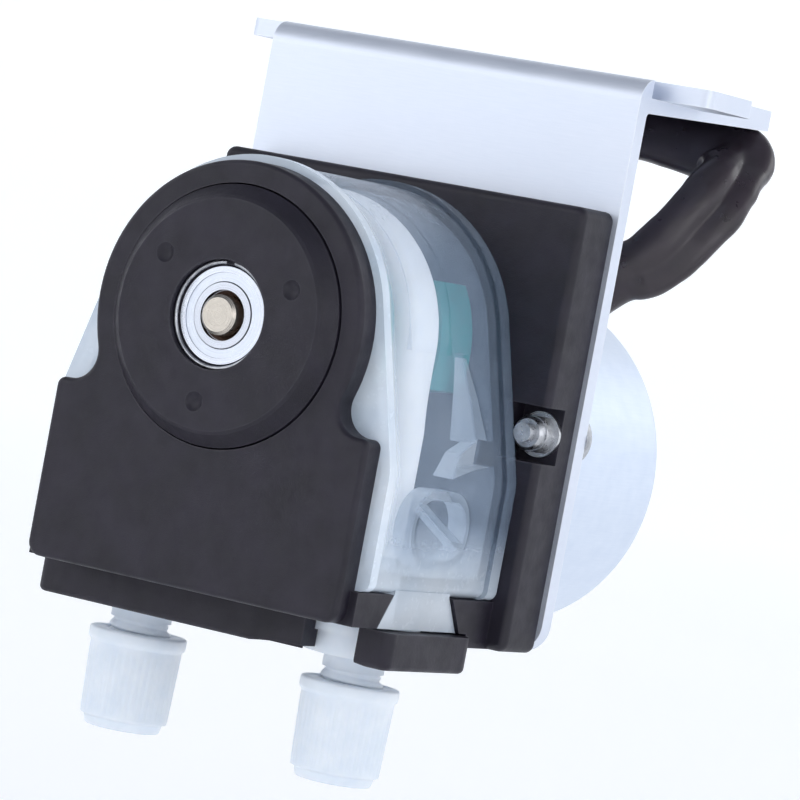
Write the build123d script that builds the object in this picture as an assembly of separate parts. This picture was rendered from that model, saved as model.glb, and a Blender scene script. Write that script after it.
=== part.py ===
from build123d import *
import math
import os

# Peristaltic dosing pump on a bent sheet bracket, in millimetres.
# The model is drawn about the pump shaft: the shaft axis is X = 0, Z = 0, the front cover's face is
# Y = 0, +Y runs back to the motor and +Z is up. At export every piece moves so that the row's origin
# is the centre of the bracket flange's top face, between its two ears.

# ---- driving dimensions -------------------------------------------------------------------------
SHAFT_R = 3.0
COVER_R = 23.2              # arch of the front cover, about the shaft
COVER_HALF_W = 27.7
SHOULDER_Z = -13.6
COVER_BOTTOM_Z = -40.8
COVER_T = 4.0
CAP_R = 19.5                # bearing cap at the seam
CAP_FACE_R = 17.2
CAP_PROUD = 2.8

HEAD_R = 24.4               # translucent housing, rim and rear flange
HEAD_HALF_W = 30.0
HEAD_FLARE = math.radians(15)
HEAD_FRONT_Y = COVER_T
HEAD_BACK_Y = 41.8
HEAD_BOTTOM_Z = -35.6
HEAD_WALL = 1.6
FOOT_HALF_W = 29.0          # dovetail foot and the cover's lip
RIM_STEP = 0.8              # body is this much inside the rim and the rear flange
FRONT_WALL_T = 1.5
FRONT_OPENING_R = 21.4      # the rotor goes in through the front wall
TRACK_R = 21.8              # the tube is squeezed against this radius

TUBE_Y = 22.0               # plane of the tube, the rollers and both fittings
TUBE_R = 4.0
TUBE_WALL = 1.5
PORT_X = 19.3               # fittings stand this far each side of the shaft
SQUEEZED_T = 5.0            # radial size of the tube on the roller track
SQUEEZED_W = 9.6            # size of the tube along Y on the roller track

ROLLER_COUNT = 3
ROLLER_R = 5.2
ROLLER_LENGTH = 10.6
ROLLER_PCR = 11.3           # pitch circle radius of the rollers
PIN_R = 1.5
RUNNING = 0.05              # radial clearance of a running fit

FRAME_FRONT_Y = 42.0
FRAME_BACK_Y = 51.2
FRAME_HALF_W = 32.85
FRAME_TOP_Z = 25.6
FRAME_BOTTOM_Z = -42.9
NOTCH_Z = -9.5              # centre height of the side notches and of the mounting screws
NOTCH_H = 8.6
NOTCH_DEPTH = 5.4
NOTCH_INNER_X = 25.8
SCREW_X = 29.4
SCREW_HOLE_R = 1.7
SHAFT_HOLE_R = 10.2         # through the frame and the bracket, round the shaft's bush

TRAY_HALF_W = 31.6          # fitting retainer
TRAY_FRONT_Y = 10.2
TRAY_BACK_Y = 35.4
TRAY_TOP_Z = -41.1
TRAY_BOTTOM_Z = -46.7
COLLAR_TOP_Z = -40.9        # flange on each fitting that the retainer holds up
COLLAR_BOTTOM_Z = -43.2

SHEET_T = 2.8
BRACKET_HALF_W = 33.7
BRACKET_TOP_Z = 46.8
BEND_R = 3.6                # outside radius of the bend
FLANGE_DEPTH = 45.8
FLANGE_FRONT_T = 5.2        # the flange is thicker at the bend than at its back edge
FLANGE_BACK_T = 3.2
EAR_FRONT = 6.3             # ears start and end this far behind the bracket's front face
EAR_BACK = 21.3
EAR_REACH = 8.5

MOTOR_R = 27.2
MOTOR_Z = -15.4             # the motor's own axis lies below the pump shaft
PLATE_T = 1.6
CAN_FRONT_Y = FRAME_BACK_Y + SHEET_T + PLATE_T
CAN_BACK_Y = 93.6
CAN_T = 0.8

GEAR_MODULE = 0.5
OUTPUT_TEETH = 40
IDLER_SMALL_TEETH = 10
IDLER_LARGE_TEETH = 30
PINION_TEETH = 10

THREAD_R = 4.9
THREAD_PITCH = 1.5
NUT_TOP_Z = -50.5
NUT_BOTTOM_Z = -65.6
PORT_BORE_R = 3.15          # 6 mm outside diameter line tube
PORT_BORE_LENGTH = 3.2
FERRULE_BORE_R = 3.05       # grips the line tube

SLEEVE_R = 3.7
SLEEVE_ROUTE = [
    (17.96, 73.0, 10.25),
    (22.32, 73.0, 16.47),
    (28.6, 74.8, 19.2),
    (32.6, 77.6, 26.0),
    (34.8, 83.0, 34.0),
    (31.8, 91.2, 38.9),
    (22.0, 93.6, 39.4),
    (9.5, 88.6, 39.3),
    (-3.0, 83.5, 38.6),
    (-16.0, 76.5, 36.6),
    (-25.6, 71.6, 29.0),
    (-27.0, 70.0, 16.5),
]

MOUNT_Y = FRAME_BACK_Y + (EAR_FRONT + EAR_BACK) / 2
TO_ROW_FRAME = Pos(0, -MOUNT_Y, -BRACKET_TOP_Z)


# ---- small helpers ------------------------------------------------------------------------------
def rod_y(radius, y0, y1, x=0.0, z=0.0):
    """Solid cylinder along Y."""
    return Pos(x, (y0 + y1) / 2, z) * Rot(90, 0, 0) * Cylinder(radius, y1 - y0)


def ring_y(outer, inner, y0, y1, x=0.0, z=0.0):
    """Plain ring along Y."""
    return rod_y(outer, y0, y1, x, z) - rod_y(inner, y0 - 1, y1 + 1, x, z)


def rod_z(radius, z0, z1, x=0.0, y=0.0):
    """Solid cylinder along Z."""
    return Pos(x, y, (z0 + z1) / 2) * Cylinder(radius, z1 - z0)


def block(x0, x1, y0, y1, z0, z1):
    """Box between two corners."""
    centre = Pos((x0 + x1) / 2, (y0 + y1) / 2, (z0 + z1) / 2)
    return centre * Box(x1 - x0, y1 - y0, z1 - z0)


def slab(sketch, y0, y1):
    """Sketch drawn in X and Z, made solid from y0 to y1."""
    return Pos(0, y1, 0) * extrude(Plane.XZ * sketch, amount=y1 - y0)


def turned_y(points, x=0.0, z=0.0):
    """Solid of revolution about a line along Y, from (radius, y) points."""
    face = make_face(Polyline(*[(r, y, 0) for r, y in points], close=True))
    return Pos(x, 0, z) * revolve(face, Axis.Y)


def turned_z(points, x=0.0, y=0.0):
    """Solid of revolution about a line along Z, from (radius, z) points."""
    face = make_face(Polyline(*[(r, 0, z) for r, z in points], close=True))
    return Pos(x, y, 0) * revolve(face, Axis.Z)


def round_corners(sketch, centre_x, centre_z, radius, reach=1.5):
    """Rounds the pair of corners at plus and minus centre_x and at centre_z."""
    corners = [v for v in sketch.vertices()
               if abs(abs(v.X) - centre_x) < reach and abs(v.Y - centre_z) < reach]
    return fillet(corners, radius)


def export(name, shape):
    """Writes one node in the row's frame."""
    export_step(TO_ROW_FRAME * shape, "parts/" + name + ".step")


# ---- outlines -----------------------------------------------------------------------------------
def cover_outline(inset=0.0):
    """Arch with a concave sweep out to square shoulders."""
    arch_r = COVER_R - inset
    half_w = COVER_HALF_W - inset
    top = SHOULDER_Z - inset
    bottom = COVER_BOTTOM_Z + inset
    shape = Circle(arch_r) + Pos(0, (top + bottom) / 2) * Rectangle(2 * half_w, top - bottom)
    shape = round_corners(shape, half_w, top, 1.3)
    shape = round_corners(shape, half_w, bottom, 2.2)
    return round_corners(shape, math.sqrt(arch_r ** 2 - top ** 2), top, 4.2)


def head_outline(inset=0.0, bottom=HEAD_BOTTOM_Z):
    """Arch with straight sides that flare out to vertical flanks."""
    arch_r = HEAD_R - inset
    half_w = HEAD_HALF_W - inset
    touch_x = arch_r * math.cos(HEAD_FLARE)
    touch_z = arch_r * math.sin(HEAD_FLARE)
    knee_z = touch_z - (half_w - touch_x) / math.tan(HEAD_FLARE)
    flank = Polyline(
        (touch_x, touch_z), (half_w, knee_z), (half_w, bottom),
        (-half_w, bottom), (-half_w, knee_z), (-touch_x, touch_z), close=True)
    shape = Circle(arch_r) + make_face(flank)
    shape = round_corners(shape, half_w, bottom, 1.6)
    return round_corners(shape, half_w, knee_z, 9.0)


def foot_profile(clear=0.0):
    """Dovetail foot under the housing, drawn in Y and Z."""
    top = HEAD_BOTTOM_Z + 0.6
    return make_face(Polyline(
        (0, 13.5 - clear, top), (0, 29.6 + clear, top), (0, 29.6 + clear, HEAD_BOTTOM_Z),
        (0, 33.2 + clear, COVER_BOTTOM_Z), (0, 10.2 - clear, COVER_BOTTOM_Z),
        (0, 13.5 - clear, HEAD_BOTTOM_Z), close=True))


def foot(half_width, clear=0.0):
    """Dovetail bar along X."""
    return extrude(foot_profile(clear), amount=half_width, both=True)


# ---- front of the head --------------------------------------------------------------------------
def front_cover():
    """Black plate with the bearing cap's hole and a lip under the housing."""
    plate = slab(cover_outline(), 0, COVER_T)
    front_edges = plate.edges().filter_by_position(Axis.Y, -0.01, 0.01)
    plate = fillet(front_edges, 0.8)
    plate = plate - rod_y(CAP_R + 0.25, -1, COVER_T + 1)
    lip = block(-FOOT_HALF_W, FOOT_HALF_W, COVER_T - 1.0, 13.6, COVER_BOTTOM_Z, HEAD_BOTTOM_Z - 0.1)
    lip = lip - foot(FOOT_HALF_W + 1, 0.15)
    return plate + lip


def bearing_cap():
    """Bevelled disc that carries the front bearing, with three dimples."""
    profile = [
        (8.2, -CAP_PROUD), (CAP_FACE_R, -CAP_PROUD), (CAP_FACE_R + 0.5, -CAP_PROUD + 0.35),
        (CAP_R, -0.35), (CAP_R, COVER_T + 0.1), (CAP_R + 1.4, COVER_T + 0.1),
        (CAP_R + 1.4, COVER_T + 1.5), (6.6, COVER_T + 1.5), (6.6, 3.85), (7.52, 3.85),
        (7.52, -1.2), (8.2, -1.2),
    ]
    cap = turned_y(profile)
    for number in range(3):
        angle = math.radians(145 - 120 * number)
        x = 13.2 * math.cos(angle)
        z = 13.2 * math.sin(angle)
        cap = cap - Pos(x, -CAP_PROUD - 1.6, z) * Sphere(2.2)
    return cap


BEARING_FRONT_Y = -1.2
BEARING_BACK_Y = 3.8
BEARING_MID_Y = (BEARING_FRONT_Y + BEARING_BACK_Y) / 2
BALL_R = 1.1
BALL_PCR = 5.65
BALL_COUNT = 7
RELIEF_WIDTH = 0.8          # dark groove between the shaft and the inner ring
SNAP_RING_R = 7.86
SNAP_WIRE_R = 0.3


def raceway():
    """Ring-shaped groove that both bearing rings are cut with."""
    return Pos(0, BEARING_MID_Y, 0) * Rot(90, 0, 0) * Torus(BALL_PCR, BALL_R + RUNNING)


def bearing_outer_ring():
    ring = turned_y([
        (6.4, BEARING_FRONT_Y), (7.25, BEARING_FRONT_Y), (7.5, BEARING_FRONT_Y + 0.25),
        (7.5, BEARING_BACK_Y - 0.25), (7.25, BEARING_BACK_Y), (6.4, BEARING_BACK_Y)])
    return ring - raceway()


def bearing_inner_ring():
    """Inner ring with a relief round the shaft at its front face."""
    ring = turned_y([
        (SHAFT_R + RELIEF_WIDTH, BEARING_FRONT_Y), (4.9, BEARING_FRONT_Y), (4.9, BEARING_BACK_Y),
        (SHAFT_R + 0.35, BEARING_BACK_Y), (SHAFT_R, BEARING_BACK_Y - 0.35),
        (SHAFT_R, BEARING_FRONT_Y + 1.1), (SHAFT_R + RELIEF_WIDTH, BEARING_FRONT_Y + 0.9)])
    return ring - raceway()


def bearing_snap_ring():
    """Open wire ring in the cap's recess, against the bearing's face, with its gap at the top."""
    wire_y = BEARING_FRONT_Y - SNAP_WIRE_R - 0.02
    ring = Pos(0, wire_y, 0) * Rot(90, 0, 0) * Torus(SNAP_RING_R, SNAP_WIRE_R)
    return ring - block(-0.5, 0.9, wire_y - 1, wire_y + 1, SNAP_RING_R - 1, SNAP_RING_R + 1)


def bearing_shields():
    front = ring_y(6.38, 5.05, BEARING_FRONT_Y + 0.15, BEARING_FRONT_Y + 0.4)
    back = ring_y(6.38, 5.05, BEARING_BACK_Y - 0.4, BEARING_BACK_Y - 0.15)
    return [front, back]


def ball_places():
    """Places of the balls, each with its local X pointing out from the shaft."""
    for number in range(BALL_COUNT):
        angle = 90 + 360 * number / BALL_COUNT
        yield Pos(0, BEARING_MID_Y, 0) * Rot(0, -angle, 0) * Pos(BALL_PCR, 0, 0)


def bearing_balls():
    return [place * Sphere(BALL_R) for place in ball_places()]


def bearing_cage():
    """Thin ring with a round pocket for each ball."""
    cage = ring_y(BALL_PCR + 0.35, BALL_PCR - 0.35, BEARING_MID_Y - 1.7, BEARING_MID_Y + 1.7)
    for place in ball_places():
        cage = cage - place * Rot(0, 90, 0) * Cylinder(BALL_R + 0.04, 3.0)
    return cage


# ---- translucent housing ------------------------------------------------------------------------
BOSS_Y = 26.1               # oval boss ring moulded on each flank
BOSS_Z = -25.8
BOSS_LENGTH = 17.4
BOSS_HEIGHT = 11.8
BOSS_WALL = 1.5
SHELF = [(27.0, -18.0), (29.5, -14.2), (33.5, -12.4), (41.0, -11.4), (41.0, -15.2), (33.5, -16.4)]
BLADE = [(31.4, 0.4), (32.6, 0.6), (35.8, -5.5), (38.2, -12.0), (34.6, -12.6), (33.2, -6.0)]


def oval_along_x(length, height, x0, x1):
    """Slot-shaped solid with its long way along Y."""
    sketch = Plane.YZ * SlotOverall(length, height)
    return Pos(x0, BOSS_Y, BOSS_Z) * extrude(sketch, amount=x1 - x0)


def web(points, x0, x1):
    """Flat web drawn in Y and Z, solid from x0 to x1."""
    face = make_face(Polyline(*[(x0, y, z) for y, z in points], close=True))
    return extrude(face, amount=x1 - x0, dir=(1, 0, 0))


def flank_features(side):
    """Moulded boss ring, shelf and blade inside one flank of the housing."""
    wall = HEAD_HALF_W - RIM_STEP - HEAD_WALL
    boss = oval_along_x(BOSS_LENGTH, BOSS_HEIGHT, wall - 3.2, wall + 0.2)
    inner_length = BOSS_LENGTH - 2 * BOSS_WALL
    inner_height = BOSS_HEIGHT - 2 * BOSS_WALL
    boss = boss - oval_along_x(inner_length, inner_height, wall - 4, wall + 0.2)
    rib = Pos(wall - 1.0, BOSS_Y + 0.6, BOSS_Z + 0.4) * Rot(-24, 0, 0) * Box(2.4, 15.0, 1.3)
    group = boss + rib + web(SHELF, 23.8, wall + 0.4) + web(BLADE, 21.2, wall + 0.4)
    group = group & slab(head_outline(RIM_STEP + 0.3), HEAD_FRONT_Y, HEAD_BACK_Y - 1)
    if side < 0:
        group = mirror(group, Plane.YZ)
    return group


def pump_housing():
    """Shell with a round front opening, the squeeze track, tube wells and the dovetail foot."""
    shell = slab(head_outline(RIM_STEP), HEAD_FRONT_Y, HEAD_BACK_Y)
    shell = shell + slab(head_outline(0.0), HEAD_FRONT_Y, HEAD_FRONT_Y + 2.0)
    shell = shell + slab(head_outline(0.0), HEAD_BACK_Y - 2.8, HEAD_BACK_Y)
    inside = slab(head_outline(RIM_STEP + HEAD_WALL, HEAD_BOTTOM_Z + 2.4), 0, HEAD_BACK_Y - 2.4)
    shell = shell - inside
    front_wall = slab(head_outline(RIM_STEP), HEAD_FRONT_Y, HEAD_FRONT_Y + FRONT_WALL_T)
    shell = shell + (front_wall - rod_y(FRONT_OPENING_R, HEAD_FRONT_Y - 1, HEAD_FRONT_Y + 3))
    shell = shell - rod_y(10.4, HEAD_BACK_Y - 5, HEAD_BACK_Y + 1)
    track = Circle(HEAD_R - RIM_STEP - 0.5) - Circle(TRACK_R)
    track = track & Pos(0, 15.5) * Rectangle(60, 31)
    shell = shell + slab(track, TUBE_Y - 6.0, TUBE_Y + 6.0)
    shell = shell + foot(FOOT_HALF_W)
    for side in (-1, 1):
        shell = shell + flank_features(side)
        well_wall = block(13.4, 14.6, TUBE_Y - 9, TUBE_Y + 9, HEAD_BOTTOM_Z + 1.8, -20.0)
        if side < 0:
            well_wall = mirror(well_wall, Plane.YZ)
        shell = shell + well_wall
        shell = shell - rod_z(4.6, COVER_BOTTOM_Z - 1, HEAD_BOTTOM_Z + 3, side * PORT_X, TUBE_Y)
    return shell


# ---- tube, rotor and shaft ----------------------------------------------------------------------
LEG_TOP_Z = -12.0
LEG_BOTTOM_Z = -31.0


def squeezed_section(wall):
    """Flattened tube section, inset by the wall thickness."""
    return SlotOverall(SQUEEZED_W - 2 * wall, SQUEEZED_T - 2 * wall)


def tube_half(side, wall, bore):
    """Leg, blend and quarter arc of the tube on one side."""
    leg = rod_z(TUBE_R - bore, LEG_BOTTOM_Z, LEG_TOP_Z, side * PORT_X, TUBE_Y)
    arc_x = TRACK_R - SQUEEZED_T / 2 - 0.1
    low = Plane(origin=(side * PORT_X, TUBE_Y, LEG_TOP_Z), x_dir=(0, 1, 0), z_dir=(0, 0, 1))
    high = Plane(origin=(side * arc_x, TUBE_Y, 0), x_dir=(0, 1, 0), z_dir=(0, 0, 1))
    blend = loft([low * Circle(TUBE_R - bore), high * squeezed_section(wall)])
    arc = revolve(high * squeezed_section(wall), Axis((0, 0, 0), (0, -side, 0)), 90)
    return leg + blend + arc


def pump_tube():
    """Soft tube from one barb, round the roller track, to the other barb."""
    outer = tube_half(-1, 0.0, 0.0) + tube_half(1, 0.0, 0.0)
    inner = tube_half(-1, TUBE_WALL, TUBE_WALL) + tube_half(1, TUBE_WALL, TUBE_WALL)
    return outer - inner - fitting(-1) - fitting(1)


ROTOR_FRONT_Y = 14.2
ROTOR_REAR_Y = 30.6
ROTOR_END_Y = 37.8
PLATE_THICK = 2.2
FRONT_ARM_R = 19.0
REAR_ARM_R = 20.2
ARM_WIDTH = 16.4
ARM_WALL = 1.8
FIRST_PIN_DEG = 8


def pin_angle(number):
    return FIRST_PIN_DEG + 360 * number / ROLLER_COUNT


def pin_centre(number):
    angle = math.radians(pin_angle(number))
    return ROLLER_PCR * math.cos(angle), ROLLER_PCR * math.sin(angle)


def shaft():
    """Output shaft with chamfered ends and a flat through the rotor."""
    body = turned_y([
        (0, -2.6), (SHAFT_R - 0.45, -2.6), (SHAFT_R, -2.15), (SHAFT_R, 62.6),
        (SHAFT_R - 0.4, 63.0), (0, 63.0)])
    return body - block(-4, 4, 8.0, 40.0, SHAFT_R - 0.5, 4)


def rotor_bore(y0, y1):
    """D-shaped hole that takes the shaft and its flat."""
    hole = rod_y(SHAFT_R, y0, y1)
    return hole - block(-4, 4, y0 - 1, y1 + 1, SHAFT_R - 0.5, 4)


def rotor_arms(radius, width, y0, y1):
    """Three arms, one behind each roller, with rounded ends about the shaft."""
    arms = Circle(5.2)
    for number in range(ROLLER_COUNT):
        arms = arms + Rot(0, 0, pin_angle(number)) * Pos(radius / 2, 0) * Rectangle(radius, width)
    return slab(arms & Circle(radius), y0, y1)


def pin_holes(y0, y1):
    return [rod_y(PIN_R, y0, y1, *pin_centre(number)) for number in range(ROLLER_COUNT)]


def rotor_front_plate():
    """Teal three-armed plate with a collar on the shaft."""
    rim_y = ROTOR_FRONT_Y + PLATE_THICK
    plate = rotor_arms(FRONT_ARM_R, ARM_WIDTH, ROTOR_FRONT_Y, rim_y)
    plate = plate + rod_y(5.2, ROTOR_FRONT_Y - 5.6, ROTOR_FRONT_Y)
    return plate - pin_holes(ROTOR_FRONT_Y - 1, rim_y + 1) - rotor_bore(ROTOR_FRONT_Y - 6, rim_y + 1)


def rotor_rear_carrier():
    """Teal hub and rear arms, hollow towards the gearbox."""
    face_y = ROTOR_REAR_Y - PLATE_THICK
    carrier = rotor_arms(REAR_ARM_R, ARM_WIDTH, face_y, ROTOR_END_Y)
    inner_r = REAR_ARM_R - ARM_WALL
    carrier = carrier - rotor_arms(inner_r, ARM_WIDTH - 2 * ARM_WALL, ROTOR_REAR_Y + 0.8, ROTOR_END_Y + 1)
    carrier = carrier + rod_y(4.9, ROTOR_FRONT_Y + PLATE_THICK, ROTOR_END_Y)
    carrier = carrier - pin_holes(face_y - 1, ROTOR_REAR_Y + 0.6)
    return carrier - rotor_bore(ROTOR_FRONT_Y, ROTOR_END_Y + 1)


def roller_pins():
    return pin_holes(ROTOR_FRONT_Y - 0.2, ROTOR_REAR_Y + 0.5)


def roller(number):
    x, z = pin_centre(number)
    half = ROLLER_LENGTH / 2
    body = turned_y([
        (PIN_R + RUNNING, TUBE_Y - half), (ROLLER_R - 0.5, TUBE_Y - half),
        (ROLLER_R, TUBE_Y - half + 0.5), (ROLLER_R, TUBE_Y + half - 0.5),
        (ROLLER_R - 0.5, TUBE_Y + half), (PIN_R + RUNNING, TUBE_Y + half)], x, z)
    return body


# ---- fittings -----------------------------------------------------------------------------------
def fitting(side):
    """Barb, captured collar, neck and threaded spigot."""
    profile = [
        (1.9, -25.5), (2.45, -25.5), (2.5, -26.0), (3.2, -28.2), (2.5, -28.4), (2.5, -31.0),
        (3.4, -31.4), (3.4, COLLAR_TOP_Z), (8.9, COLLAR_TOP_Z), (8.9, COLLAR_BOTTOM_Z),
        (8.0, COLLAR_BOTTOM_Z), (8.0, -46.5), (4.7, -46.5), (4.7, -48.6)]
    z = -48.6
    while z > -59.4:
        profile.append((THREAD_R, z - 0.25))
        profile.append((THREAD_R, z - 0.55))
        profile.append((THREAD_R - 0.75, z - 1.0))
        profile.append((THREAD_R - 0.75, z - 1.25))
        z -= THREAD_PITCH
    profile += [(THREAD_R - 0.75, -60.6), (1.9, -60.6)]
    return turned_z(profile, side * PORT_X, TUBE_Y)


def ferrule(side):
    """Gripping ring between the spigot and the nut's cone."""
    profile = [
        (FERRULE_BORE_R, -60.7), (4.3, -60.7), (4.3, -61.3), (FERRULE_BORE_R + 0.45, -62.0),
        (FERRULE_BORE_R, -62.0)]
    return turned_z(profile, side * PORT_X, TUBE_Y)


def compression_nut(side):
    """Tapered cap nut with a rim, a cone for the ferrule and a plain mouth."""
    mouth_top = NUT_BOTTOM_Z + PORT_BORE_LENGTH
    profile = [
        (THREAD_R + RUNNING, NUT_TOP_Z), (7.35, NUT_TOP_Z), (7.56, NUT_TOP_Z - 0.2),
        (7.56, NUT_TOP_Z - 1.7), (7.15, NUT_TOP_Z - 2.1), (6.75, NUT_BOTTOM_Z + 1.7),
        (6.1, NUT_BOTTOM_Z + 1.5), (5.8, NUT_BOTTOM_Z), (PORT_BORE_R, NUT_BOTTOM_Z),
        (PORT_BORE_R, mouth_top), (PORT_BORE_R + 0.65, mouth_top + 0.2),
        (4.55, -61.35), (4.55, -60.9), (THREAD_R + RUNNING, -60.9)]
    return turned_z(profile, side * PORT_X, TUBE_Y)


RELIEF_X = 17.5             # shallow hollow in the tray's lower edge, beside the slot
RELIEF_R = 60.0
RELIEF_DEPTH = 0.9


def fitting_retainer():
    """Black tray under the head: a round pocket on the left, an open slot on the right."""
    tray = block(-TRAY_HALF_W, TRAY_HALF_W, TRAY_FRONT_Y, TRAY_BACK_Y, TRAY_BOTTOM_Z, TRAY_TOP_Z)
    upright = tray.edges().filter_by(Axis.Z)
    tray = fillet(upright.filter_by_position(Axis.Y, TRAY_BACK_Y - 0.01, TRAY_BACK_Y + 0.01), 3.0)
    upright = tray.edges().filter_by(Axis.Z)
    tray = fillet(upright.filter_by_position(Axis.Y, TRAY_FRONT_Y - 0.01, TRAY_FRONT_Y + 0.01), 1.6)
    tray = fillet(tray.edges().filter_by_position(Axis.Z, TRAY_BOTTOM_Z - 0.01, TRAY_BOTTOM_Z + 0.01), 0.9)
    for side in (-1, 1):
        tray = tray - rod_z(8.2, TRAY_BOTTOM_Z - 1, -40, side * PORT_X, TUBE_Y)
        tray = tray - rod_z(9.1, COLLAR_BOTTOM_Z - 0.05, -40, side * PORT_X, TUBE_Y)
    slot = block(16.7, 26.0, TRAY_FRONT_Y - 1, TUBE_Y, TRAY_BOTTOM_Z - 1, -40)
    relief = Pos(RELIEF_X, TRAY_FRONT_Y, TRAY_BOTTOM_Z + RELIEF_DEPTH - RELIEF_R) * Rot(90, 0, 0)
    return tray - slot - relief * Cylinder(RELIEF_R, 12.0)


# ---- frame and bracket --------------------------------------------------------------------------
def base_frame():
    """Thick black plate with a screw notch on each side and a block behind the dovetail."""
    plate = block(-FRAME_HALF_W, FRAME_HALF_W, FRAME_FRONT_Y, FRAME_BACK_Y, FRAME_BOTTOM_Z, FRAME_TOP_Z)
    plate = fillet(plate.edges().filter_by(Axis.Y), 1.6)
    front = plate.edges().filter_by_position(Axis.Y, FRAME_FRONT_Y - 0.01, FRAME_FRONT_Y + 0.01)
    plate = fillet(front, 1.2)
    rear_block = block(-29.6, 29.6, 29.0, FRAME_FRONT_Y + 1, FRAME_BOTTOM_Z, HEAD_BOTTOM_Z - 0.1)
    rear_block = rear_block - foot(31, 0.15)
    tray_room = block(-32, 32, 28, TRAY_BACK_Y + 0.2, FRAME_BOTTOM_Z - 1, COVER_BOTTOM_Z + 0.02)
    plate = plate + (rear_block - tray_room)
    plate = plate - rod_y(SHAFT_HOLE_R, FRAME_FRONT_Y - 1, FRAME_BACK_Y + 1)
    for side in (-1, 1):
        notch = block(NOTCH_INNER_X, FRAME_HALF_W + 1, FRAME_FRONT_Y - 1, FRAME_FRONT_Y + NOTCH_DEPTH,
                      NOTCH_Z - NOTCH_H / 2, NOTCH_Z + NOTCH_H / 2)
        if side < 0:
            notch = mirror(notch, Plane.YZ)
        plate = plate - notch
        plate = plate - rod_y(SCREW_HOLE_R, FRAME_FRONT_Y, FRAME_BACK_Y + 1, side * SCREW_X, NOTCH_Z)
    return plate


def bracket_profile():
    """Side view of the bent sheet in Y and Z."""
    front = FRAME_BACK_Y
    back = front + FLANGE_DEPTH
    inner_r = 0.8
    thin_z = BRACKET_TOP_Z - FLANGE_BACK_T
    thick_z = BRACKET_TOP_Z - FLANGE_FRONT_T
    inner_y = front + SHEET_T + inner_r
    path = (
        Line((0, front, FRAME_BOTTOM_Z), (0, front, BRACKET_TOP_Z - BEND_R))
        + ThreePointArc(
            (0, front, BRACKET_TOP_Z - BEND_R),
            (0, front + BEND_R * (1 - math.sqrt(0.5)), BRACKET_TOP_Z - BEND_R * (1 - math.sqrt(0.5))),
            (0, front + BEND_R, BRACKET_TOP_Z))
        + Line((0, front + BEND_R, BRACKET_TOP_Z), (0, back, BRACKET_TOP_Z))
        + Line((0, back, BRACKET_TOP_Z), (0, back, thin_z))
        + Line((0, back, thin_z), (0, inner_y, thick_z))
        + ThreePointArc(
            (0, inner_y, thick_z),
            (0, inner_y - inner_r * math.sqrt(0.5), thick_z - inner_r * (1 - math.sqrt(0.5))),
            (0, front + SHEET_T, thick_z - inner_r))
        + Line((0, front + SHEET_T, thick_z - inner_r), (0, front + SHEET_T, FRAME_BOTTOM_Z))
        + Line((0, front + SHEET_T, FRAME_BOTTOM_Z), (0, front, FRAME_BOTTOM_Z)))
    return make_face(path)


def bracket():
    """Bent sheet: plate behind the frame, flange over the motor, an ear on each side."""
    sheet = extrude(bracket_profile(), amount=BRACKET_HALF_W, both=True)
    plate_corners = sheet.edges().filter_by(Axis.Y).filter_by_position(
        Axis.Z, FRAME_BOTTOM_Z - 0.01, FRAME_BOTTOM_Z + 0.01)
    sheet = fillet(plate_corners, 4.6)
    back_y = FRAME_BACK_Y + FLANGE_DEPTH
    flange_corners = sheet.edges().filter_by(Axis.Z).filter_by_position(Axis.Y, back_y - 0.01, back_y + 0.01)
    sheet = fillet(flange_corners, 2.4)
    reach = BRACKET_HALF_W + EAR_REACH
    ears = block(-reach, reach, FRAME_BACK_Y + EAR_FRONT, FRAME_BACK_Y + EAR_BACK,
                 BRACKET_TOP_Z - SHEET_T, BRACKET_TOP_Z)
    ears = fillet(ears.edges().filter_by(Axis.Z), 1.6)
    sheet = sheet + ears
    sheet = sheet - rod_y(SHAFT_HOLE_R, FRAME_BACK_Y - 1, FRAME_BACK_Y + SHEET_T + 1)
    for side in (-1, 1):
        relief = block(BRACKET_HALF_W - 1.8, BRACKET_HALF_W + 1, FRAME_BACK_Y + BEND_R - 0.2,
                       FRAME_BACK_Y + EAR_FRONT, BRACKET_TOP_Z - SHEET_T, BRACKET_TOP_Z + 1)
        if side < 0:
            relief = mirror(relief, Plane.YZ)
        sheet = sheet - relief
        sheet = sheet - rod_y(SCREW_HOLE_R, FRAME_BACK_Y - 1, FRAME_BACK_Y + SHEET_T + 1,
                              side * SCREW_X, NOTCH_Z)
    return sheet


# ---- motor and gearbox --------------------------------------------------------------------------
BUSH_R = 5.0
GEAR_Y = CAN_FRONT_Y + 1.2
STAGE_T = 3.4
IDLER_Y = GEAR_Y + STAGE_T + 1.0
GEAR_PLATE_Y = IDLER_Y + STAGE_T + 1.4
SPINDLE_R = 1.0


def pitch_r(teeth):
    return GEAR_MODULE * teeth / 2


def idler_centre():
    """Centre that meshes with the shaft's gear and with the motor pinion."""
    to_shaft = pitch_r(OUTPUT_TEETH) + pitch_r(IDLER_SMALL_TEETH)
    to_motor = pitch_r(PINION_TEETH) + pitch_r(IDLER_LARGE_TEETH)
    z = (to_motor ** 2 - to_shaft ** 2 - MOTOR_Z ** 2) / (-2 * MOTOR_Z)
    return math.sqrt(to_shaft ** 2 - z ** 2), z


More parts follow.
